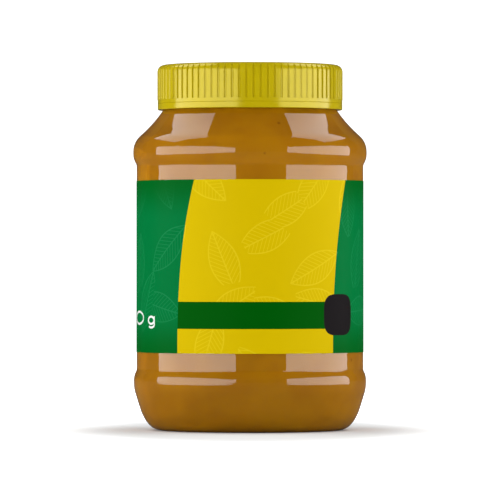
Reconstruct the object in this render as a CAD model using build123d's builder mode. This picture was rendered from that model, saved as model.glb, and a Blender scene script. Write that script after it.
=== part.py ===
"""A screw-capped jar of peanut butter, standing on its base.

Millimetres. The origin is at the centre of the base, +Z points up, and the front of the label
faces -Y. Slopes are in degrees from the vertical.
"""

from build123d import *
from math import acos, asin, cos, degrees, radians, sin, sqrt
import os

# Jar body: a straight label panel between two slightly wider bulges
body_radius = 42.5              # upper bulge, the widest place
panel_bottom = 22.4             # height of the panel's lower end
panel_height = 73.4
panel_fillet = 2.3              # hollow corner between the panel and each bulge
upper_step_slope = 31.0         # steepest slope between the panel and the upper bulge
upper_bulge_round = 6.6
upper_bulge_flat = 1.0
lower_step_slope = 28.0
lower_bulge_round = 6.7
lower_bulge_flat = 1.0
jar_wall = 0.65

# Shoulder: rounds in from the upper bulge, then sweeps up to the neck in one hollow curve
crown_round = 7.5
shoulder_low_slope = 48.9
shoulder_top_slope = 31.3

# Heel: from the lower bulge in to the foot
heel_turn_round = 13.2
heel_slope = 17.2
heel_round = 15.6
toe_slope = 40.7
toe_round = 6.2
foot_ring_width = 3.5           # flat ring that the jar stands on
base_rise = 4.0                 # height of the dome under the base

# Neck
neck_radius = 30.2
neck_wall = 1.6
neck_height = 12.7
rim_round = 0.4

# Screw thread, on the neck and in the cap
thread_pitch = 4.2
thread_turns = 1.25
thread_depth = 1.1
thread_root_width = 2.2
thread_crest_width = 1.1
thread_overlap = 0.3            # how far a thread is sunk in the wall that carries it
thread_start_height = 4.0       # from the foot of the neck to the middle of its thread
thread_clearance = 0.3          # between a thread's crest and the wall it faces

# Contents
fill_above_neck_foot = 1.4

# Label: one sleeve, lapped over itself at the back
label_margin_bottom = 6.0       # bare panel below and above the label
label_margin_top = 5.2
label_thickness = 0.12
label_lap_width = 12.0

# Cap
cap_wall = 2.15                 # from the inside of the skirt to the crests of the ribs
cap_top_thickness = 1.5
cap_skirt_drop = 14.9           # from the neck's rim down to the cap's lower edge
cap_top_round = 2.55
cap_bottom_round = 0.3
cap_mouth_chamfer = 0.5
groove_count = 82
groove_depth = 0.45
groove_mouth_width = 1.1
groove_floor_width = 0.35
groove_runout_radius = 3.4      # curve on which each groove runs out over the top edge
band_height = 3.7               # smooth band below the grooves
band_recess = 0.12              # band's step in from the crests of the ribs
score_height = 2.3              # fine line round the band, from the cap's lower edge
score_width = 0.2
score_depth = 0.15
tool_overrun = 1.0              # how far cutting shapes reach past the surface they cut


def run(radius, slope_a, slope_b):
    """How far an arc goes sideways while its slope turns from slope_a to slope_b."""
    return radius * abs(cos(radians(slope_a)) - cos(radians(slope_b)))


def rise(radius, slope_a, slope_b):
    """How far an arc goes up while its slope turns from slope_a to slope_b."""
    return radius * abs(sin(radians(slope_a)) - sin(radians(slope_b)))


# Radii and heights that follow from the sizes above
panel_top = panel_bottom + panel_height
panel_radius = body_radius - run(panel_fillet + upper_bulge_round, upper_step_slope, 0)
lower_bulge_radius = panel_radius + run(panel_fillet + lower_bulge_round, lower_step_slope, 0)
lower_step_rise = rise(panel_fillet + lower_bulge_round, lower_step_slope, 0)
upper_step_rise = rise(panel_fillet + upper_bulge_round, upper_step_slope, 0)
heel_wall_top = panel_bottom - lower_step_rise - lower_bulge_flat - rise(heel_turn_round, heel_slope, 0)
heel_wall_bottom = rise(toe_round, toe_slope, 90) + rise(heel_round, heel_slope, toe_slope)
heel_wall_length = (heel_wall_top - heel_wall_bottom) / cos(radians(heel_slope))
heel_run = (
    run(heel_turn_round, heel_slope, 0)
    + heel_wall_length * sin(radians(heel_slope))
    + run(heel_round, heel_slope, toe_slope)
    + run(toe_round, toe_slope, 90)
)
foot_radius = lower_bulge_radius - heel_run
foot_ring_inner = foot_radius - foot_ring_width
base_dome_radius = (foot_ring_inner**2 + base_rise**2) / (2 * base_rise)

crown_top = panel_top + upper_step_rise + upper_bulge_flat + rise(crown_round, shoulder_low_slope, 0)
crown_radius = body_radius - run(crown_round, shoulder_low_slope, 0)
shoulder_span = crown_radius - neck_radius
shoulder_round = shoulder_span / run(1, shoulder_low_slope, shoulder_top_slope)
shoulder_centre = crown_radius + shoulder_round * cos(radians(shoulder_low_slope))
neck_bottom = crown_top + rise(shoulder_round, shoulder_low_slope, shoulder_top_slope)
neck_top = neck_bottom + neck_height
bore_radius = neck_radius - neck_wall
fill_level = neck_bottom + fill_above_neck_foot

thread_crest_radius = neck_radius + thread_depth
cap_inner_radius = thread_crest_radius + thread_clearance
cap_thread_crest_radius = neck_radius + thread_clearance
cap_radius = cap_inner_radius + cap_wall
cap_bottom = neck_top - cap_skirt_drop
cap_top = neck_top + cap_top_thickness
label_bottom = panel_bottom + label_margin_bottom
label_top = panel_top - label_margin_top
thread_bottom = neck_bottom + thread_start_height


def body_profile(inset, neck_side, top):
    """Half of the jar's upright section, moved inwards by inset and closed on its axis.

    neck_side is the radius of the neck's wall, and top is the height where the section ends.
    """
    end_slope = degrees(acos((shoulder_centre - neck_side) / (shoulder_round + inset)))
    dome_radius = base_dome_radius + inset
    dome_centre = base_rise - base_dome_radius
    dome_angle = degrees(asin((inset - dome_centre) / dome_radius))
    with BuildSketch(Plane.XZ) as profile:
        with BuildLine():
            dome = CenterArc((0, dome_centre), dome_radius, 90, dome_angle - 90)
            ring = Line(dome @ 1, (foot_radius, inset))
            toe = JernArc(ring @ 1, (1, 0), toe_round - inset, 90 - toe_slope)
            heel = JernArc(toe @ 1, toe % 1, heel_round - inset, toe_slope - heel_slope)
            wall = PolarLine(heel @ 1, heel_wall_length, direction=heel % 1)
            turn = JernArc(wall @ 1, wall % 1, heel_turn_round - inset, heel_slope)
            low_flat = PolarLine(turn @ 1, lower_bulge_flat, direction=(0, 1))
            low_round = JernArc(low_flat @ 1, (0, 1), lower_bulge_round - inset, lower_step_slope)
            low_hollow = JernArc(low_round @ 1, low_round % 1, panel_fillet + inset, -lower_step_slope)
            panel = PolarLine(low_hollow @ 1, panel_height, direction=(0, 1))
            high_hollow = JernArc(panel @ 1, (0, 1), panel_fillet + inset, -upper_step_slope)
            high_start = high_hollow @ 1
            high_round = JernArc(high_start, high_hollow % 1, upper_bulge_round - inset, upper_step_slope)
            high_flat = PolarLine(high_round @ 1, upper_bulge_flat, direction=(0, 1))
            crown = JernArc(high_flat @ 1, (0, 1), crown_round - inset, shoulder_low_slope)
            shoulder = JernArc(crown @ 1, crown % 1, shoulder_round + inset, end_slope - shoulder_low_slope)
            neck = Line(shoulder @ 1, (neck_side, top))
            lid = Line(neck @ 1, (0, top))
            Line(lid @ 1, dome @ 0)
        make_face()
    return profile.sketch


def thread(wall_radius, crest_radius, start_height):
    """A screw thread that stands out of the wall at wall_radius as far as crest_radius."""
    outwards = 1 if crest_radius > wall_radius else -1
    root_radius = wall_radius - outwards * thread_overlap
    crest_reach = abs(crest_radius - root_radius)
    with BuildPart() as ridge:
        with BuildLine() as path:
            coil = Helix(
                thread_pitch,
                thread_pitch * thread_turns,
                root_radius,
                center=(0, 0, start_height),
            )
        with BuildSketch(Plane(coil @ 0, x_dir=(outwards, 0, 0), z_dir=coil % 0)):
            with BuildLine():
                Polyline(
                    (0, -thread_root_width / 2),
                    (crest_reach, -thread_crest_width / 2),
                    (crest_reach, thread_crest_width / 2),
                    (0, thread_root_width / 2),
                    close=True,
                )
            make_face()
        sweep(path=path.wires()[0], is_frenet=True)
    return ridge.part


with BuildPart() as jar:
    add(body_profile(0, neck_radius, neck_top))
    revolve(axis=Axis.Z)
    add(body_profile(jar_wall, bore_radius, neck_top))
    revolve(axis=Axis.Z, mode=Mode.SUBTRACT)
    rim = jar.faces().filter_by(Plane.XY).sort_by(Axis.Z)[-1]
    fillet(rim.edges(), rim_round)
    add(thread(neck_radius, thread_crest_radius, thread_bottom))

with BuildPart() as peanut_butter:
    add(body_profile(jar_wall, bore_radius, fill_level))
    revolve(axis=Axis.Z)

with BuildPart() as label:
    with BuildSketch(Plane.XY.offset(label_bottom)):
        Circle(panel_radius + label_thickness)
        Circle(panel_radius, mode=Mode.SUBTRACT)
    extrude(amount=label_top - label_bottom)
    lap_radius = panel_radius + 2 * label_thickness
    lap_angle = degrees(label_lap_width / lap_radius)
    with BuildSketch(Plane.XY.offset(label_bottom)):
        with BuildLine():
            lap = CenterArc((0, 0), lap_radius, 90 - lap_angle / 2, lap_angle)
            Line(lap @ 1, (0, 0))
            Line((0, 0), lap @ 0)
        make_face()
        Circle(panel_radius, mode=Mode.SUBTRACT)
    extrude(amount=label_top - label_bottom)

with BuildPart() as groove_tool:
    with BuildLine(Plane.XZ) as groove_path:
        groove_side = Line(
            (cap_radius - groove_depth, cap_bottom + band_height),
            (cap_radius - groove_depth, cap_top - cap_top_round),
        )
        JernArc(groove_side @ 1, (0, 1), groove_runout_radius, 90)
    with BuildSketch(Plane.XY.offset(cap_bottom + band_height)):
        with BuildLine():
            flank_slope = (groove_mouth_width - groove_floor_width) / 2 / groove_depth
            reach = groove_depth + tool_overrun
            outer_half_width = groove_floor_width / 2 + flank_slope * reach
            Polyline(
                (cap_radius - groove_depth, -groove_floor_width / 2),
                (cap_radius - groove_depth + reach, -outer_half_width),
                (cap_radius - groove_depth + reach, outer_half_width),
                (cap_radius - groove_depth, groove_floor_width / 2),
                close=True,
            )
        make_face()
    sweep(path=groove_path.wires()[0])

with BuildPart() as cap:
    with BuildSketch(Plane.XZ):
        with BuildLine():
            Polyline(
                (0, cap_bottom),
                (cap_radius - band_recess, cap_bottom),
                (cap_radius - band_recess, cap_bottom + band_height),
                (cap_radius, cap_bottom + band_height),
                (cap_radius, cap_top),
                (0, cap_top),
                close=True,
            )
        make_face()
    revolve(axis=Axis.Z)
    top_edge = cap.edges().filter_by(GeomType.CIRCLE).sort_by(Axis.Z)[-1]
    fillet(top_edge, cap_top_round)
    bottom_edge = cap.edges().filter_by(GeomType.CIRCLE).sort_by(Axis.Z)[0]
    fillet(bottom_edge, cap_bottom_round)
    with PolarLocations(0, groove_count):
        add(groove_tool.part, mode=Mode.SUBTRACT)
    with BuildSketch(Plane.XY.offset(cap_bottom)):
        Circle(cap_inner_radius)
    extrude(amount=neck_top - cap_bottom, mode=Mode.SUBTRACT)
    mouth_edge = cap.edges().filter_by(GeomType.CIRCLE).group_by(Axis.Z)[0].sort_by(SortBy.RADIUS)[0]
    chamfer(mouth_edge, cap_mouth_chamfer)
    with BuildSketch(Plane.XZ):
        with BuildLine():
            Polyline(
                (cap_radius - band_recess - score_depth, cap_bottom + score_height),
                (cap_radius - band_recess, cap_bottom + score_height - score_width / 2),
                (cap_radius - band_recess + score_depth, cap_bottom + score_height - score_width),
                (cap_radius - band_recess + score_depth, cap_bottom + score_height + score_width),
                (cap_radius - band_recess, cap_bottom + score_height + score_width / 2),
                close=True,
            )
        make_face()
    revolve(axis=Axis.Z, mode=Mode.SUBTRACT)
    add(thread(cap_inner_radius, cap_thread_crest_radius, thread_bottom - thread_pitch / 2))

jar.part.label = "jar"
peanut_butter.part.label = "peanut_butter"
label.part.label = "label"
cap.part.label = "cap"

os.makedirs("parts", exist_ok=True)
export_step(jar.part, "parts/jar.step")
export_step(peanut_butter.part, "parts/peanut_butter.step")
export_step(label.part, "parts/label.step")
export_step(cap.part, "parts/cap.step")
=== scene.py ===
"""Looks for a screw-capped jar of peanut butter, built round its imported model.

Metres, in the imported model's own frame: the jar stands on z = 0 and the front of its label
faces -Y. Angles on the label are measured round the jar's axis from the front, positive to the
right as the viewer sees it.
"""

import logging
from dataclasses import dataclass, field
from enum import Enum
from math import cos, pi, radians, sin, tan

import bpy
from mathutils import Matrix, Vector

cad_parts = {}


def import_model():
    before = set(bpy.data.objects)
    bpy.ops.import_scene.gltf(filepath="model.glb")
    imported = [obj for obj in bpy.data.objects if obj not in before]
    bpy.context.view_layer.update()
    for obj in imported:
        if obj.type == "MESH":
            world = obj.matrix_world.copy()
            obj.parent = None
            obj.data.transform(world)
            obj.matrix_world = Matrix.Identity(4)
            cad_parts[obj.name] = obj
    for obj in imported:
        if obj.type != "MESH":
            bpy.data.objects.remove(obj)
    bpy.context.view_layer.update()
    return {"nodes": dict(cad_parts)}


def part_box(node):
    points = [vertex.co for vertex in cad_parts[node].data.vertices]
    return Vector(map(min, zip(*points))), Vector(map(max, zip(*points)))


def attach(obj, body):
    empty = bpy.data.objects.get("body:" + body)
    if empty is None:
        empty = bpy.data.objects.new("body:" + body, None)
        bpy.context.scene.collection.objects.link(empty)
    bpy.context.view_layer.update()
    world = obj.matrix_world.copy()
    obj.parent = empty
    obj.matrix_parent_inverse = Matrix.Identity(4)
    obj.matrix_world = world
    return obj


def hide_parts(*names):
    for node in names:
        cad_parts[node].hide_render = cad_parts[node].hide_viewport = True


LOG = logging.getLogger("jar")
BODY = "root"
MM = 0.001
Socket = bpy.types.NodeSocket
Colour = tuple[float, float, float]
Span = tuple[float, float]

# Sockets of a Mix node set to colour, by place: its share and two colours, and its result.
MIX_INPUTS = (0, 6, 7)
MIX_RESULT = 2

# The part of the soft grain's range that a finish spreads over its own values.
WIDE_SPAN = (0.35, 0.65)
FINE_SPAN = (0.3, 0.7)


class MathOp(Enum):
    """The sums that a pattern is made of, by their plain names."""

    ADD = "ADD"
    SUBTRACT = "SUBTRACT"
    MULTIPLY = "MULTIPLY"
    DIVIDE = "DIVIDE"
    POWER = "POWER"
    ABSOLUTE = "ABSOLUTE"
    LESS = "LESS_THAN"
    GREATER = "GREATER_THAN"
    MAXIMUM = "MAXIMUM"
    ANGLE = "ARCTAN2"
    FOLD = "PINGPONG"


class Tree:
    """A short hand for placing and joining shader nodes in one node tree."""

    def __init__(self, nodes: bpy.types.ShaderNodeTree) -> None:
        """Keep the node tree.

        Args:
            nodes: The tree of a material or of a node group.
        """
        self.nodes = nodes

    def add(self, kind: str, **settings: object) -> bpy.types.ShaderNode:
        """Place one node.

        Args:
            kind: The node's type name.
            settings: Attributes to set on it.

        Returns:
            The new node.
        """
        node = self.nodes.nodes.new(kind)
        for name, value in settings.items():
            setattr(node, name, value)
        return node

    def feed(self, socket: Socket, value: object) -> None:
        """Join an output to a socket, or set the socket's own value.

        Args:
            socket: The input to feed.
            value: An output socket, a number or a tuple.
        """
        if isinstance(value, bpy.types.NodeSocket):
            self.nodes.links.new(value, socket)
        else:
            socket.default_value = value

    def sum(self, op: MathOp, a: object, b: object = 0.0) -> Socket:
        """Place one Math node.

        Args:
            op: Which sum.
            a: First number or output.
            b: Second number or output.

        Returns:
            The node's output.
        """
        node = self.add("ShaderNodeMath", operation=op.value)
        self.feed(node.inputs[0], a)
        self.feed(node.inputs[1], b)
        return node.outputs[0]

    def blend(self, share: object, first: object, second: object) -> Socket:
        """Mix two colours.

        Args:
            share: How much of the second colour shows.
            first: Colour where share is 0.
            second: Colour where share is 1.

        Returns:
            The mixed colour.
        """
        node = self.add("ShaderNodeMix", data_type="RGBA", clamp_factor=True)
        for place, value in zip(MIX_INPUTS, (share, first, second)):
            self.feed(node.inputs[place], (*value, 1.0) if isinstance(value, tuple) else value)
        return node.outputs[MIX_RESULT]

    def ramp(self, value: Socket, low: float, high: float, out_low: float, out_high: float) -> Socket:
        """Map a range of values smoothly onto another.

        Args:
            value: The value to map.
            low: Where the range begins.
            high: Where it ends.
            out_low: Result at and below low.
            out_high: Result at and above high.

        Returns:
            The mapped value.
        """
        node = self.add("ShaderNodeMapRange", interpolation_type="SMOOTHSTEP")
        for socket, number in zip(node.inputs, (value, low, high, out_low, out_high)):
            self.feed(socket, number)
        return node.outputs[0]

    def place(self) -> Socket:
        """The point being shaded, in the piece's own frame."""
        return self.add("ShaderNodeTexCoord").outputs["Object"]

    def use(self, group: bpy.types.ShaderNodeTree, **inputs: object) -> bpy.types.ShaderNode:
        """Place a node group.

        Args:
            group: The group's tree.
            inputs: A value or an output for each named input, with _ for a space.

        Returns:
            The group node.
        """
        node = self.add("ShaderNodeGroup", node_tree=group)
        for name, value in inputs.items():
            self.feed(node.inputs[name.replace("_", " ")], value)
        return node


def new_group(name: str, inputs: dict[str, str], outputs: dict[str, str]) -> tuple[Tree, Socket, Socket]:
    """Start a shader node group.

    Args:
        name: The group's name.
        inputs: Socket type of each named input.
        outputs: Socket type of each named output.

    Returns:
        The group's tree, the inside ends of its inputs and of its outputs.
    """
    group = bpy.data.node_groups.new(name, "ShaderNodeTree")
    for label, kind in inputs.items():
        group.interface.new_socket(label, in_out="INPUT", socket_type=kind)
    for label, kind in outputs.items():
        group.interface.new_socket(label, in_out="OUTPUT", socket_type=kind)
    tree = Tree(group)
    return tree, tree.add("NodeGroupInput").outputs, tree.add("NodeGroupOutput").inputs


def grain_group(
    wide_detail: float = 2.0, fine_detail: float = 4.0, fine_ratio: float = 7.0
) -> bpy.types.ShaderNodeTree:
    """Build the soft unevenness that every moulded or spread surface here has.

    Args:
        wide_detail: How much detail the wide unevenness has.
        fine_detail: How much detail the fine unevenness has.
        fine_ratio: How many times finer the fine one is.

    Returns:
        A group from a point and a size to a wide and a fine value, each about 0 to 1.
    """
    tree, given, out = new_group(
        "soft_grain",
        {"Point": "NodeSocketVector", "Per metre": "NodeSocketFloat"},
        {"Wide": "NodeSocketFloat", "Fine": "NodeSocketFloat"},
    )
    wide = tree.add("ShaderNodeTexNoise")
    tree.feed(wide.inputs["Vector"], given["Point"])
    tree.feed(wide.inputs["Scale"], given["Per metre"])
    tree.feed(wide.inputs["Detail"], wide_detail)
    fine = tree.add("ShaderNodeTexNoise")
    tree.feed(fine.inputs["Vector"], given["Point"])
    tree.feed(fine.inputs["Scale"], tree.sum(MathOp.MULTIPLY, given["Per metre"], fine_ratio))
    tree.feed(fine.inputs["Detail"], fine_detail)
    tree.feed(out["Wide"], wide.outputs["Fac"])
    tree.feed(out["Fine"], fine.outputs["Fac"])
    return tree.nodes


def sheet_group(radius: float) -> bpy.types.ShaderNodeTree:
    """Build the unrolling of a sleeve round the z axis.

    Args:
        radius: The sleeve's radius.

    Returns:
        A group from a point to its place on the flat sheet: across, from the front, and up.
    """
    tree, given, out = new_group(
        "unrolled_sheet",
        {"Point": "NodeSocketVector"},
        {"Across": "NodeSocketFloat", "Up": "NodeSocketFloat", "Flat": "NodeSocketVector"},
    )
    split = tree.add("ShaderNodeSeparateXYZ")
    tree.feed(split.inputs[0], given["Point"])
    forwards = tree.sum(MathOp.MULTIPLY, split.outputs["Y"], -1.0)
    turn = tree.sum(MathOp.ANGLE, split.outputs["X"], forwards)
    across = tree.sum(MathOp.MULTIPLY, turn, radius)
    flat = tree.add("ShaderNodeCombineXYZ")
    tree.feed(flat.inputs["X"], across)
    tree.feed(flat.inputs["Y"], split.outputs["Z"])
    tree.feed(out["Across"], across)
    tree.feed(out["Up"], split.outputs["Z"])
    tree.feed(out["Flat"], flat.outputs[0])
    return tree.nodes


@dataclass(frozen=True)
class LeafShape:
    """The proportions of a drawn leaf, where 1 is the usual distance between two leaves."""

    scatter: float = 0.75
    half_length: float = 0.62
    half_width: float = 0.27
    side_power: float = 2.0
    vein_slant: float = 0.9
    vein_spacing: float = 0.045
    vein_weight: float = 0.7


def leaf_group(leaf: LeafShape) -> bpy.types.ShaderNodeTree:
    """Build scattered leaves drawn in line: an outline, a midrib and slanting veins.

    Args:
        leaf: The leaf's proportions.

    Returns:
        A group from a flat point, leaves per metre and line width to a mask of the lines.
    """
    tree, given, out = new_group(
        "leaf_lines",
        {"Flat": "NodeSocketVector", "Per metre": "NodeSocketFloat", "Line": "NodeSocketFloat"},
        {"Lines": "NodeSocketFloat"},
    )
    cells = tree.add("ShaderNodeTexVoronoi", voronoi_dimensions="2D")
    tree.feed(cells.inputs["Vector"], given["Flat"])
    tree.feed(cells.inputs["Scale"], given["Per metre"])
    tree.feed(cells.inputs["Randomness"], leaf.scatter)
    scaled = tree.add("ShaderNodeVectorMath", operation="SCALE")
    tree.feed(scaled.inputs[0], given["Flat"])
    tree.feed(scaled.inputs["Scale"], given["Per metre"])
    centre = tree.add("ShaderNodeVectorMath", operation="SCALE")
    tree.feed(centre.inputs[0], cells.outputs["Position"])
    tree.feed(centre.inputs["Scale"], given["Per metre"])
    local = tree.add("ShaderNodeVectorMath", operation="SUBTRACT")
    tree.feed(local.inputs[0], scaled.outputs[0])
    tree.feed(local.inputs[1], centre.outputs[0])
    tint = tree.add("ShaderNodeSeparateColor")
    tree.feed(tint.inputs[0], cells.outputs["Color"])
    turned = tree.add("ShaderNodeVectorRotate", rotation_type="Z_AXIS")
    tree.feed(turned.inputs["Vector"], local.outputs[0])
    tree.feed(turned.inputs["Angle"], tree.sum(MathOp.MULTIPLY, tint.outputs[0], 2 * pi))
    split = tree.add("ShaderNodeSeparateXYZ")
    tree.feed(split.inputs[0], turned.outputs[0])
    along, aside = split.outputs["X"], tree.sum(MathOp.ABSOLUTE, split.outputs["Y"])
    share = tree.sum(MathOp.ABSOLUTE, tree.sum(MathOp.DIVIDE, along, leaf.half_length))
    narrowing = tree.sum(MathOp.POWER, share, leaf.side_power)
    edge = tree.sum(MathOp.MULTIPLY, tree.sum(MathOp.SUBTRACT, 1.0, narrowing), leaf.half_width)
    inside = tree.sum(MathOp.LESS, aside, edge)
    off_edge = tree.sum(MathOp.ABSOLUTE, tree.sum(MathOp.SUBTRACT, aside, edge))
    outline = tree.sum(MathOp.LESS, off_edge, given["Line"])
    midrib = tree.sum(MathOp.LESS, aside, given["Line"])
    slant = tree.sum(MathOp.SUBTRACT, along, tree.sum(MathOp.MULTIPLY, aside, leaf.vein_slant))
    off_vein = tree.sum(MathOp.FOLD, slant, leaf.vein_spacing)
    vein_line = tree.sum(MathOp.MULTIPLY, given["Line"], leaf.vein_weight)
    vein = tree.sum(MathOp.LESS, off_vein, vein_line)
    drawn = tree.sum(MathOp.MULTIPLY, tree.sum(MathOp.MAXIMUM, midrib, vein), inside)
    tree.feed(out["Lines"], tree.sum(MathOp.MAXIMUM, drawn, outline))
    return tree.nodes


def start_material(name: str) -> tuple[bpy.types.Material, Tree, bpy.types.ShaderNode, bpy.types.ShaderNode]:
    """Start a material with one Principled shader.

    Args:
        name: The material's name.

    Returns:
        The material, its tree, the Principled node and the output node.
    """
    material = bpy.data.materials.new(name)
    material.use_nodes = True
    tree = Tree(material.node_tree)
    nodes = material.node_tree.nodes
    return material, tree, nodes["Principled BSDF"], nodes["Material Output"]


def set_plain(shader: bpy.types.ShaderNode, **values: object) -> None:
    """Set values that are the same all over a surface.

    Args:
        shader: The Principled node.
        values: A value for each named input, with _ for a space.
    """
    for name, value in values.items():
        shader.inputs[name.replace("_", " ")].default_value = value


def dress(piece: bpy.types.Object, material: bpy.types.Material) -> None:
    """Give a piece one material all over.

    Args:
        piece: The object to dress.
        material: Its material.
    """
    piece.data.materials.clear()
    piece.data.materials.append(material)
    LOG.info("%s: dressed in %s", piece.name, material.name)


@dataclass(frozen=True)
class Finishes:
    """The node groups that the finishes share."""

    grain: bpy.types.ShaderNodeTree
    sheet: bpy.types.ShaderNodeTree
    leaves: bpy.types.ShaderNodeTree


@dataclass(frozen=True)
class ClearWall:
    """Blow-moulded clear plastic: glossy, with a slow ripple left by the mould."""

    index: float = 1.57
    roughness: Span = (0.025, 0.05)
    roughness_span: Span = (0.3, 0.8)
    tint: Colour = (0.985, 0.98, 0.95)
    ripple: float = 0.00002
    per_metre: float = 45.0

    def build(self, shared: Finishes) -> bpy.types.Material:
        """Make the material.

        Args:
            shared: The shared node groups.

        Returns:
            The new material.
        """
        material, tree, shader, output = start_material("clear_wall")
        set_plain(shader, Base_Color=(*self.tint, 1.0), Transmission_Weight=1.0, IOR=self.index)
        grain = tree.use(shared.grain, Point=tree.place(), Per_metre=self.per_metre)
        rough = tree.ramp(grain.outputs["Fine"], *self.roughness_span, *self.roughness)
        tree.feed(shader.inputs["Roughness"], rough)
        bump = tree.add("ShaderNodeBump")
        tree.feed(bump.inputs["Distance"], self.ripple)
        tree.feed(bump.inputs["Height"], grain.outputs["Wide"])
        tree.feed(shader.inputs["Normal"], bump.outputs[0])
        open_to_lamps = tree.add("ShaderNodeMixShader")
        tree.feed(open_to_lamps.inputs[0], tree.add("ShaderNodeLightPath").outputs["Is Shadow Ray"])
        tree.feed(open_to_lamps.inputs[1], shader.outputs[0])
        tree.feed(open_to_lamps.inputs[2], tree.add("ShaderNodeBsdfTransparent").outputs[0])
        tree.feed(output.inputs["Surface"], open_to_lamps.outputs[0])
        return material


@dataclass(frozen=True)
class NutSpread:
    """Peanut butter pressed against the wall: smooth, faintly mottled, with a few nut specks."""

    light: Colour = (0.48, 0.218, 0.001)
    deep: Colour = (0.44, 0.187, 0.0005)
    speck: Colour = (0.17, 0.06, 0.0005)
    per_metre: float = 70.0
    specks_per_metre: float = 190.0
    speck_rarity: float = 0.93
    speck_span: Span = (0.06, 0.16)
    speck_strength: float = 0.6
    specular: float = 0.05
    roughness: Span = (0.4, 0.6)
    relief: float = 0.1 * MM

    def build(self, shared: Finishes) -> bpy.types.Material:
        """Make the material.

        Args:
            shared: The shared node groups.

        Returns:
            The new material.
        """
        material, tree, shader, _ = start_material("nut_spread")
        set_plain(shader, Specular_IOR_Level=self.specular)
        point = tree.place()
        grain = tree.use(shared.grain, Point=point, Per_metre=self.per_metre)
        body = tree.blend(tree.ramp(grain.outputs["Wide"], *WIDE_SPAN, 0.0, 1.0), self.deep, self.light)
        flecks = tree.add("ShaderNodeTexVoronoi")
        tree.feed(flecks.inputs["Vector"], point)
        tree.feed(flecks.inputs["Scale"], self.specks_per_metre)
        tint = tree.add("ShaderNodeSeparateColor")
        tree.feed(tint.inputs[0], flecks.outputs["Color"])
        rare = tree.sum(MathOp.GREATER, tint.outputs[0], self.speck_rarity)
        spot = tree.ramp(flecks.outputs["Distance"], *self.speck_span, self.speck_strength, 0.0)
        speckled = tree.blend(tree.sum(MathOp.MULTIPLY, rare, spot), body, self.speck)
        tree.feed(shader.inputs["Base Color"], speckled)
        tree.feed(shader.inputs["Roughness"], tree.ramp(grain.outputs["Fine"], *FINE_SPAN, *self.roughness))
        bump = tree.add("ShaderNodeBump")
        tree.feed(bump.inputs["Distance"], self.relief)
        tree.feed(bump.inputs["Height"], grain.outputs["Fine"])
        tree.feed(shader.inputs["Normal"], bump.outputs[0])
        return material


@dataclass(frozen=True)
class MouldedPlastic:
    """Bright moulded plastic: glossy, with a fine moulded grain and a slight change of tone."""

    name: str = "cap_plastic"
    light: Colour = (0.5, 0.39, 0.002)
    deep: Colour = (0.46, 0.36, 0.001)
    reflection: Colour = (1.0, 0.9, 0.3)
    index: float = 1.6
    specular: float = 0.65
    roughness: Span = (0.12, 0.2)
    per_metre: float = 60.0
    relief: float = 0.01 * MM

    def build(self, shared: Finishes) -> bpy.types.Material:
        """Make the material.

        Args:
            shared: The shared node groups.

        Returns:
            The new material.
        """
        material, tree, shader, _ = start_material(self.name)
        set_plain(shader, IOR=self.index, Specular_IOR_Level=self.specular)
        set_plain(shader, Specular_Tint=(*self.reflection, 1.0))
        grain = tree.use(shared.grain, Point=tree.place(), Per_metre=self.per_metre)
        body = tree.blend(tree.ramp(grain.outputs["Wide"], *WIDE_SPAN, 0.0, 1.0), self.deep, self.light)
        tree.feed(shader.inputs["Base Color"], body)
        tree.feed(shader.inputs["Roughness"], tree.ramp(grain.outputs["Fine"], *FINE_SPAN, *self.roughness))
        bump = tree.add("ShaderNodeBump")
        tree.feed(bump.inputs["Distance"], self.relief)
        tree.feed(bump.inputs["Height"], grain.outputs["Fine"])
        tree.feed(shader.inputs["Normal"], bump.outputs[0])
        return material


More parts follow.
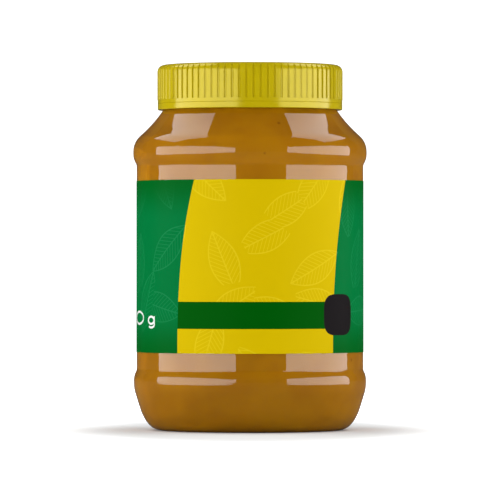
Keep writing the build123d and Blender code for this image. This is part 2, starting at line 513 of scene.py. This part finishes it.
@dataclass(frozen=True)
class PrintedFilm:
    """The label's print: a yellow front field on green, a band, a plain badge and drawn leaves, with the
    green painted darker towards the top and bottom edges as shade.
    """

    green: Colour = (0.0, 0.158, 0.036)
    green_line: Colour = (0.008, 0.205, 0.062)
    # The green in painted shade, used near the label's top and bottom edges.
    green_painted_shade: Colour = (0.0, 0.108, 0.011)
    band: Colour = (0.0, 0.085, 0.002)
    yellow: Colour = (0.6, 0.43, 0.0006)
    yellow_line: Colour = (0.68, 0.52, 0.01)
    badge: Colour = (0.012, 0.01, 0.011)
    # Distance from the label's middle height where the painted shade on the green begins.
    painted_shade_start: float = 16.0 * MM
    field_left: float = -28.1 * MM
    field_right: float = 33.2 * MM
    field_lean: float = 7.3 * MM
    lean_power: float = 2.4
    band_low: float = 37.2 * MM
    band_high: float = 46.9 * MM
    badge_across: float = 36.5 * MM
    badge_up: float = 42.2 * MM
    badge_half_width: float = 7.8 * MM
    badge_half_height: float = 7.4 * MM
    badge_squareness: float = 3.6
    leaves_per_metre: float = 52.0
    leaf_line: float = 0.012
    leaf_strength: float = 0.8
    index: float = 1.5
    specular: float = 0.01
    roughness: Span = (0.3, 0.4)
    per_metre: float = 120.0
    relief: float = 0.01 * MM

    def field_mask(self, tree: Tree, across: Socket, up: Socket, low: float, high: float) -> Socket:
        """Mark the yellow field, whose two sides lean to the right towards the top.

        Args:
            tree: The material's tree.
            across: Distance round the label from the front.
            up: Height.
            low: The label's lower edge.
            high: The label's upper edge.

        Returns:
            A mask that is 1 in the field.
        """
        share = tree.sum(MathOp.DIVIDE, tree.sum(MathOp.SUBTRACT, up, low), high - low)
        held = tree.sum(MathOp.MAXIMUM, share, 0.0)
        lean = tree.sum(MathOp.MULTIPLY, tree.sum(MathOp.POWER, held, self.lean_power), self.field_lean)
        upright = tree.sum(MathOp.SUBTRACT, across, lean)
        right_of = tree.sum(MathOp.GREATER, upright, self.field_left)
        left_of = tree.sum(MathOp.LESS, upright, self.field_right)
        return tree.sum(MathOp.MULTIPLY, right_of, left_of)

    def band_mask(self, tree: Tree, up: Socket) -> Socket:
        """Mark the band across the field.

        Args:
            tree: The material's tree.
            up: Height.

        Returns:
            A mask that is 1 in the band.
        """
        above = tree.sum(MathOp.GREATER, up, self.band_low)
        return tree.sum(MathOp.MULTIPLY, above, tree.sum(MathOp.LESS, up, self.band_high))

    def badge_mask(self, tree: Tree, across: Socket, up: Socket) -> Socket:
        """Mark the plain badge, a square with strongly rounded sides.

        Args:
            tree: The material's tree.
            across: Distance round the label from the front.
            up: Height.

        Returns:
            A mask that is 1 in the badge.
        """
        total: object = 0.0
        for value, middle, half in (
            (across, self.badge_across, self.badge_half_width),
            (up, self.badge_up, self.badge_half_height),
        ):
            share = tree.sum(MathOp.DIVIDE, tree.sum(MathOp.SUBTRACT, value, middle), half)
            power = tree.sum(MathOp.POWER, tree.sum(MathOp.ABSOLUTE, share), self.badge_squareness)
            total = tree.sum(MathOp.ADD, total, power)
        return tree.sum(MathOp.LESS, total, 1.0)

    def build(self, shared: Finishes, low: float, high: float) -> bpy.types.Material:
        """Make the material.

        Args:
            shared: The shared node groups.
            low: The label's lower edge.
            high: The label's upper edge.

        Returns:
            The new material.
        """
        material, tree, shader, _ = start_material("printed_film")
        set_plain(shader, IOR=self.index, Specular_IOR_Level=self.specular)
        point = tree.place()
        sheet = tree.use(shared.sheet, Point=point)
        across, up, flat = (sheet.outputs[name] for name in ("Across", "Up", "Flat"))
        leaves = tree.use(shared.leaves, Flat=flat, Per_metre=self.leaves_per_metre, Line=self.leaf_line)
        yellow_share = self.field_mask(tree, across, up, low, high)
        off_band = tree.sum(MathOp.SUBTRACT, 1.0, self.band_mask(tree, up))
        open_field = tree.sum(MathOp.MULTIPLY, yellow_share, off_band)
        faint = tree.sum(MathOp.MULTIPLY, leaves.outputs["Lines"], self.leaf_strength)
        # Painted shade: the green ground darkens smoothly towards the label's top and bottom edges.
        from_middle = tree.sum(MathOp.ABSOLUTE, tree.sum(MathOp.SUBTRACT, up, (low + high) / 2))
        painted_shade_share = tree.ramp(from_middle, self.painted_shade_start, (high - low) / 2, 0.0, 1.0)
        green = tree.blend(painted_shade_share, tree.blend(faint, self.green, self.green_line), self.green_painted_shade)
        ground = tree.blend(
            open_field,
            tree.blend(yellow_share, green, self.band),
            tree.blend(faint, self.yellow, self.yellow_line),
        )
        printed = tree.blend(self.badge_mask(tree, across, up), ground, self.badge)
        tree.feed(shader.inputs["Base Color"], printed)
        grain = tree.use(shared.grain, Point=point, Per_metre=self.per_metre)
        tree.feed(shader.inputs["Roughness"], tree.ramp(grain.outputs["Fine"], *FINE_SPAN, *self.roughness))
        bump = tree.add("ShaderNodeBump")
        tree.feed(bump.inputs["Distance"], self.relief)
        tree.feed(bump.inputs["Height"], grain.outputs["Wide"])
        tree.feed(shader.inputs["Normal"], bump.outputs[0])
        return material


@dataclass(frozen=True)
class WhiteInk:
    """Opaque white print, very slightly uneven."""

    light: Colour = (0.86, 0.88, 0.86)
    deep: Colour = (0.78, 0.81, 0.78)
    per_metre: float = 400.0
    roughness: float = 0.35

    def build(self, shared: Finishes) -> bpy.types.Material:
        """Make the material.

        Args:
            shared: The shared node groups.

        Returns:
            The new material.
        """
        material, tree, shader, _ = start_material("white_ink")
        grain = tree.use(shared.grain, Point=tree.place(), Per_metre=self.per_metre)
        tree.feed(shader.inputs["Base Color"], tree.blend(grain.outputs["Fine"], self.deep, self.light))
        set_plain(shader, Roughness=self.roughness)
        return material


@dataclass(frozen=True)
class StageSurface:
    """A pale floor that shows white to the viewer and keeps the shadow of what stands on it. Its glow fades
    out in an oval round the jar, so a grey pool of painted shade lies there around the real shadow.
    """

    colour: Colour = (0.8, 0.8, 0.81)
    mirrored: Colour = (0.1, 0.1, 0.1)
    # Glow near the jar and far from it. Where the glow is low, the floor stays grey as painted shade.
    near_lift: float = 0.0
    far_lift: float = 1.0
    near: float = 0.04
    far: float = 0.1
    shade_pool_squeeze: tuple[float, float, float] = (1.0, 0.45, 1.0)
    roughness: float = 0.9

    def build(self) -> bpy.types.Material:
        """Make the material.

        Returns:
            The new material.
        """
        material, tree, shader, output = start_material("stage")
        set_plain(shader, Roughness=self.roughness, Specular_IOR_Level=0.0)
        path = tree.add("ShaderNodeLightPath")
        mirrored = tree.blend(path.outputs["Is Glossy Ray"], self.colour, self.mirrored)
        tree.feed(shader.inputs["Base Color"], mirrored)
        seen = tree.sum(MathOp.MAXIMUM, path.outputs["Is Camera Ray"], path.outputs["Is Transmission Ray"])
        # Painted shade: the glow fades out in a squeezed oval round the jar, so the floor there stays grey
        # around its real shadow.
        shade_pool = tree.add("ShaderNodeVectorMath", operation="MULTIPLY")
        tree.feed(shade_pool.inputs[0], tree.place())
        tree.feed(shade_pool.inputs[1], self.shade_pool_squeeze)
        length = tree.add("ShaderNodeVectorMath", operation="LENGTH")
        tree.feed(length.inputs[0], shade_pool.outputs[0])
        lift = tree.ramp(length.outputs["Value"], self.near, self.far, self.near_lift, self.far_lift)
        glow = tree.add("ShaderNodeEmission")
        tree.feed(glow.inputs["Strength"], tree.sum(MathOp.MULTIPLY, seen, lift))
        both = tree.add("ShaderNodeAddShader")
        tree.feed(both.inputs[0], shader.outputs[0])
        tree.feed(both.inputs[1], glow.outputs[0])
        tree.feed(output.inputs["Surface"], both.outputs[0])
        return material


def deselect() -> None:
    """Leave edit mode and select nothing."""
    if bpy.context.object and bpy.context.object.mode != "OBJECT":
        bpy.ops.object.mode_set(mode="OBJECT")
    bpy.ops.object.select_all(action="DESELECT")


def edit(piece: bpy.types.Object) -> None:
    """Select one piece alone, with all of it chosen in edit mode.

    Args:
        piece: The object to edit.
    """
    deselect()
    piece.select_set(True)
    bpy.context.view_layer.objects.active = piece
    bpy.ops.object.mode_set(mode="EDIT")
    bpy.ops.mesh.select_all(action="SELECT")


def ride(piece: bpy.types.Object, slot: str) -> None:
    """Put a finished piece on the jar's body.

    Args:
        piece: The piece.
        slot: A finish name, which is only shown in the log.
    """
    deselect()
    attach(piece, BODY)
    LOG.info("%s: %d faces, finish %s", piece.name, len(piece.data.polygons), slot)


@dataclass
class Filling:
    """The peanut butter, let a little way into the wall so that no air shows between them."""

    node: bpy.types.Object
    reach_into_wall: float = 0.5 * MM
    merge_distance: float = 0.002 * MM
    smooth_angle: float = radians(35)

    def build(self, shared: Finishes) -> bpy.types.Object:
        """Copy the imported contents, close the copy up and swell it into the wall.

        Args:
            shared: The shared node groups.

        Returns:
            The finished piece.
        """
        piece = self.node.copy()
        piece.data = self.node.data.copy()
        piece.name = "spread_fill"
        piece.parent = None
        for key in list(piece.keys()):
            del piece[key]
        bpy.context.scene.collection.objects.link(piece)
        edit(piece)
        bpy.ops.mesh.remove_doubles(threshold=self.merge_distance)
        bpy.ops.transform.shrink_fatten(value=self.reach_into_wall)
        bpy.ops.object.mode_set(mode="OBJECT")
        bpy.ops.object.shade_smooth_by_angle(angle=self.smooth_angle)
        dress(piece, NutSpread().build(shared))
        ride(piece, "peanut_butter")
        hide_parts(self.node.name)
        return piece


@dataclass(frozen=True)
class Oval:
    """An ellipse in a mark's unit box; a negative half height draws it clockwise."""

    middle_x: float
    middle_y: float
    half_wide: float
    half_tall: float

    def points(self, turns: list[float]) -> list[Span]:
        """Place a point at each turn.

        Args:
            turns: Angles round the ellipse, in radians.

        Returns:
            The points.
        """
        wide, tall = self.half_wide, self.half_tall
        return [(self.middle_x + wide * cos(t), self.middle_y + tall * sin(t)) for t in turns]


@dataclass
class WeightPrint:
    """The end of a plain weight, printed in white at the left of the label."""

    radius: float
    height: float = 4.9 * MM
    baseline: float = 38.5 * MM
    thickness: float = 0.06 * MM
    line_width: float = 0.75 * MM
    line_steps: int = 48
    tail_drop: float = 1.3 * MM
    unit_height: float = 4.6 * MM
    digit_turn: Span = (-84.0, -67.0)
    unit_turn: Span = (-63.0, -55.0)
    digit_oval: Oval = Oval(0.5, 0.5, 0.42, 0.45)
    bowl_oval: Oval = Oval(0.45, 0.64, 0.35, 0.28)
    hook_oval: Oval = Oval(0.46, 0.3, 0.36, -0.22)
    hook_steps: int = 20
    stem: tuple[Span, ...] = ((0.82, 0.96), (0.82, 0.6))
    names: dict[str, str] = field(default_factory=lambda: {"0": "weight_digit", "g": "weight_unit"})
    pieces: list[bpy.types.Object] = field(default_factory=list)

    def strokes(self, mark: str) -> list[tuple[list[Span], bool]]:
        """Draw the centre lines of a mark in a box one unit wide and high.

        Args:
            mark: The mark.

        Returns:
            Each line's points, and whether it is closed.
        """
        turns = [2 * pi * i / self.line_steps for i in range(self.line_steps)]
        if mark == "0":
            return [(self.digit_oval.points(turns), True)]
        hook = self.hook_oval.points(turns[: self.hook_steps])
        return [(self.bowl_oval.points(turns), True), (list(self.stem) + hook, False)]

    def letter(self, mark: str, start: float, end: float, low: float, tall: float) -> bpy.types.Object:
        """Model one mark as flat strokes laid round the label.

        Args:
            mark: The mark.
            start: Angle of its left side, in degrees.
            end: Angle of its right side, in degrees.
            low: Height of its lowest point.
            tall: Height from its lowest to its highest point.

        Returns:
            The finished piece.
        """
        wide = radians(end - start) * self.radius
        corners, faces = [], []
        for line, closed in self.strokes(mark):
            first, count = len(corners), len(line)
            flat = [Vector((x * wide, y * tall)) for x, y in line]
            for i, point in enumerate(flat):
                back = flat[i - 1] if closed or i else point
                ahead = flat[(i + 1) % count] if closed or i + 1 < count else point
                side = (ahead - back).normalized().orthogonal() * self.line_width / 2
                for edge in (point - side, point + side):
                    turn = radians(start) + edge.x / self.radius
                    corners.append((self.radius * sin(turn), -self.radius * cos(turn), low + edge.y))
            for i in range(count if closed else count - 1):
                a, b = first + 2 * i, first + 2 * ((i + 1) % count)
                faces.append((a, a + 1, b + 1, b))
        mesh = bpy.data.meshes.new(self.names[mark])
        mesh.from_pydata(corners, [], faces)
        piece = bpy.data.objects.new(self.names[mark], mesh)
        bpy.context.scene.collection.objects.link(piece)
        edit(piece)
        bpy.ops.mesh.normals_make_consistent(inside=False)
        bpy.ops.object.mode_set(mode="OBJECT")
        wall = piece.modifiers.new("thickness", "SOLIDIFY")
        wall.thickness = self.thickness
        wall.offset = 0.0
        bpy.ops.object.modifier_apply(modifier=wall.name)
        return piece

    def build(self, shared: Finishes) -> list[bpy.types.Object]:
        """Model and dress every mark.

        Args:
            shared: The shared node groups.

        Returns:
            The finished pieces.
        """
        ink = WhiteInk().build(shared)
        for mark, turn, low, tall in (
            ("0", self.digit_turn, self.baseline, self.height),
            ("g", self.unit_turn, self.baseline - self.tail_drop, self.unit_height),
        ):
            piece = self.letter(mark, *turn, low, tall)
            dress(piece, ink)
            ride(piece, "label_film")
            self.pieces.append(piece)
        return self.pieces


@dataclass
class Studio:
    """The stage, the soft lights and the camera."""

    aim_height: float = 65.5 * MM
    camera_height: float = 60.3 * MM
    camera_distance: float = 1.857
    lens: float = 367.2
    sensor: float = 36.0
    stage_half: float = 6.0
    stage_rise: float = 4.0
    world_level: float = 0.45
    room_dimming: float = 0.94
    sweep: float = 2.0
    sweep_steps: int = 16
    view_end: float = 50.0
    left_turn: Span = (-104.0, -14.0)
    right_turn: Span = (36.0, 114.0)
    low_heights: Span = (0.0, 0.26)
    low_distance: float = 0.6
    low_level: float = 3.2
    left_high_turn: Span = (-140.0, -80.0)
    right_high_turn: Span = (80.0, 140.0)
    high_heights: Span = (0.6, 1.3)
    high_distance: float = 0.7
    high_level: float = 2.4
    tilt_from: float = 0.3

    def stage(self) -> bpy.types.Object:
        """Model the floor and its swept-up back as one sheet.

        Returns:
            The stage.
        """
        deselect()
        bpy.ops.mesh.primitive_plane_add(size=2 * self.stage_half, location=(0, 0, 0))
        sheet = bpy.context.object
        sheet.name = "stage"
        edit(sheet)
        bpy.ops.mesh.select_all(action="DESELECT")
        bpy.ops.object.mode_set(mode="OBJECT")
        for edge in sheet.data.edges:
            edge.select = all(sheet.data.vertices[v].co.y > 0 for v in edge.vertices)
        bpy.ops.object.mode_set(mode="EDIT")
        bpy.ops.mesh.select_mode(type="EDGE")
        bpy.ops.mesh.extrude_region_move(TRANSFORM_OT_translate={"value": (0, 0, self.stage_rise)})
        bpy.ops.mesh.select_all(action="DESELECT")
        bpy.ops.object.mode_set(mode="OBJECT")
        for edge in sheet.data.edges:
            ends = [sheet.data.vertices[v].co for v in edge.vertices]
            edge.select = all(end.y > 0 and abs(end.z) < MM for end in ends)
        bpy.ops.object.mode_set(mode="EDIT")
        bpy.ops.mesh.bevel(offset=self.sweep, segments=self.sweep_steps)
        bpy.ops.object.mode_set(mode="OBJECT")
        bpy.ops.object.shade_smooth()
        dress(sheet, StageSurface().build())
        return sheet

    def panel(self, name: str, turn: Span, heights: Span, distance: float, level: float) -> None:
        """Hang one upright soft panel beside the jar.

        Args:
            name: The lamp's name.
            turn: Angles of its two sides round the jar from the camera, in degrees.
            heights: Heights of its lower and upper edges.
            distance: From the jar's axis to its face.
            level: How bright its face is, where 1 is white.
        """
        middle, half = radians(sum(turn) / 2), radians(turn[1] - turn[0]) / 2
        width, tall = 2 * distance * tan(half), heights[1] - heights[0]
        place = Vector((distance * sin(middle), -distance * cos(middle), sum(heights) / 2))
        lamp = bpy.data.lights.new(name, "AREA")
        lamp.shape = "RECTANGLE"
        lamp.size, lamp.size_y = width, tall
        lamp.energy = level * pi * width * tall
        holder = bpy.data.objects.new(name, lamp)
        holder.location = place
        outwards = Vector((place.x, place.y, max(0.0, place.z - self.tilt_from)))
        holder.rotation_euler = outwards.to_track_quat("Z", "Y").to_euler()
        bpy.context.scene.collection.objects.link(holder)

    def lights(self) -> None:
        """Hang the low and high side panels and set the plain light of the room."""
        low_turns = {"left_panel": self.left_turn, "right_panel": self.right_turn}
        for name, turn in low_turns.items():
            self.panel(name, turn, self.low_heights, self.low_distance, self.low_level)
        high_turns = {"left_high_panel": self.left_high_turn, "right_high_panel": self.right_high_turn}
        for name, turn in high_turns.items():
            self.panel(name, turn, self.high_heights, self.high_distance, self.high_level)
        world = bpy.data.worlds.new("room")
        world.use_nodes = True
        tree = Tree(world.node_tree)
        ground = world.node_tree.nodes["Background"]
        tree.feed(ground.inputs["Color"], (1.0, 1.0, 1.0, 1.0))
        glossy = tree.add("ShaderNodeLightPath").outputs["Is Glossy Ray"]
        open_share = tree.sum(MathOp.SUBTRACT, 1.0, tree.sum(MathOp.MULTIPLY, glossy, self.room_dimming))
        tree.feed(ground.inputs["Strength"], tree.sum(MathOp.MULTIPLY, open_share, self.world_level))
        bpy.context.scene.world = world

    def camera(self) -> None:
        """Set up the camera in front of the jar."""
        lens = bpy.data.cameras.new("camera")
        lens.sensor_width = self.sensor
        lens.lens = self.lens
        lens.clip_end = self.view_end
        holder = bpy.data.objects.new("camera", lens)
        holder.location = (0.0, -self.camera_distance, self.camera_height)
        view = Vector((0.0, 0.0, self.aim_height)) - holder.location
        holder.rotation_euler = view.to_track_quat("-Z", "Y").to_euler()
        bpy.context.scene.collection.objects.link(holder)
        bpy.context.scene.camera = holder
        bpy.context.scene.view_settings.view_transform = "Standard"

    def build(self) -> None:
        """Set the whole studio."""
        self.camera()
        self.stage()
        self.lights()
        LOG.info("studio set")


def main() -> None:
    """Build the looks in order."""
    logging.basicConfig(level=logging.INFO, format="%(name)s: %(message)s")
    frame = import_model()
    nodes = frame["nodes"]
    label_low, label_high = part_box("label")
    label_radius = -label_low.y
    shared = Finishes(grain_group(), sheet_group(label_radius), leaf_group(LeafShape()))
    Studio().build()
    dress(nodes["jar"], ClearWall().build(shared))
    dress(nodes["cap"], MouldedPlastic().build(shared))
    dress(nodes["label"], PrintedFilm().build(shared, label_low.z, label_high.z))
    Filling(nodes["peanut_butter"]).build(shared)
    WeightPrint(label_radius).build(shared)


if __name__ == "__main__":
    main()
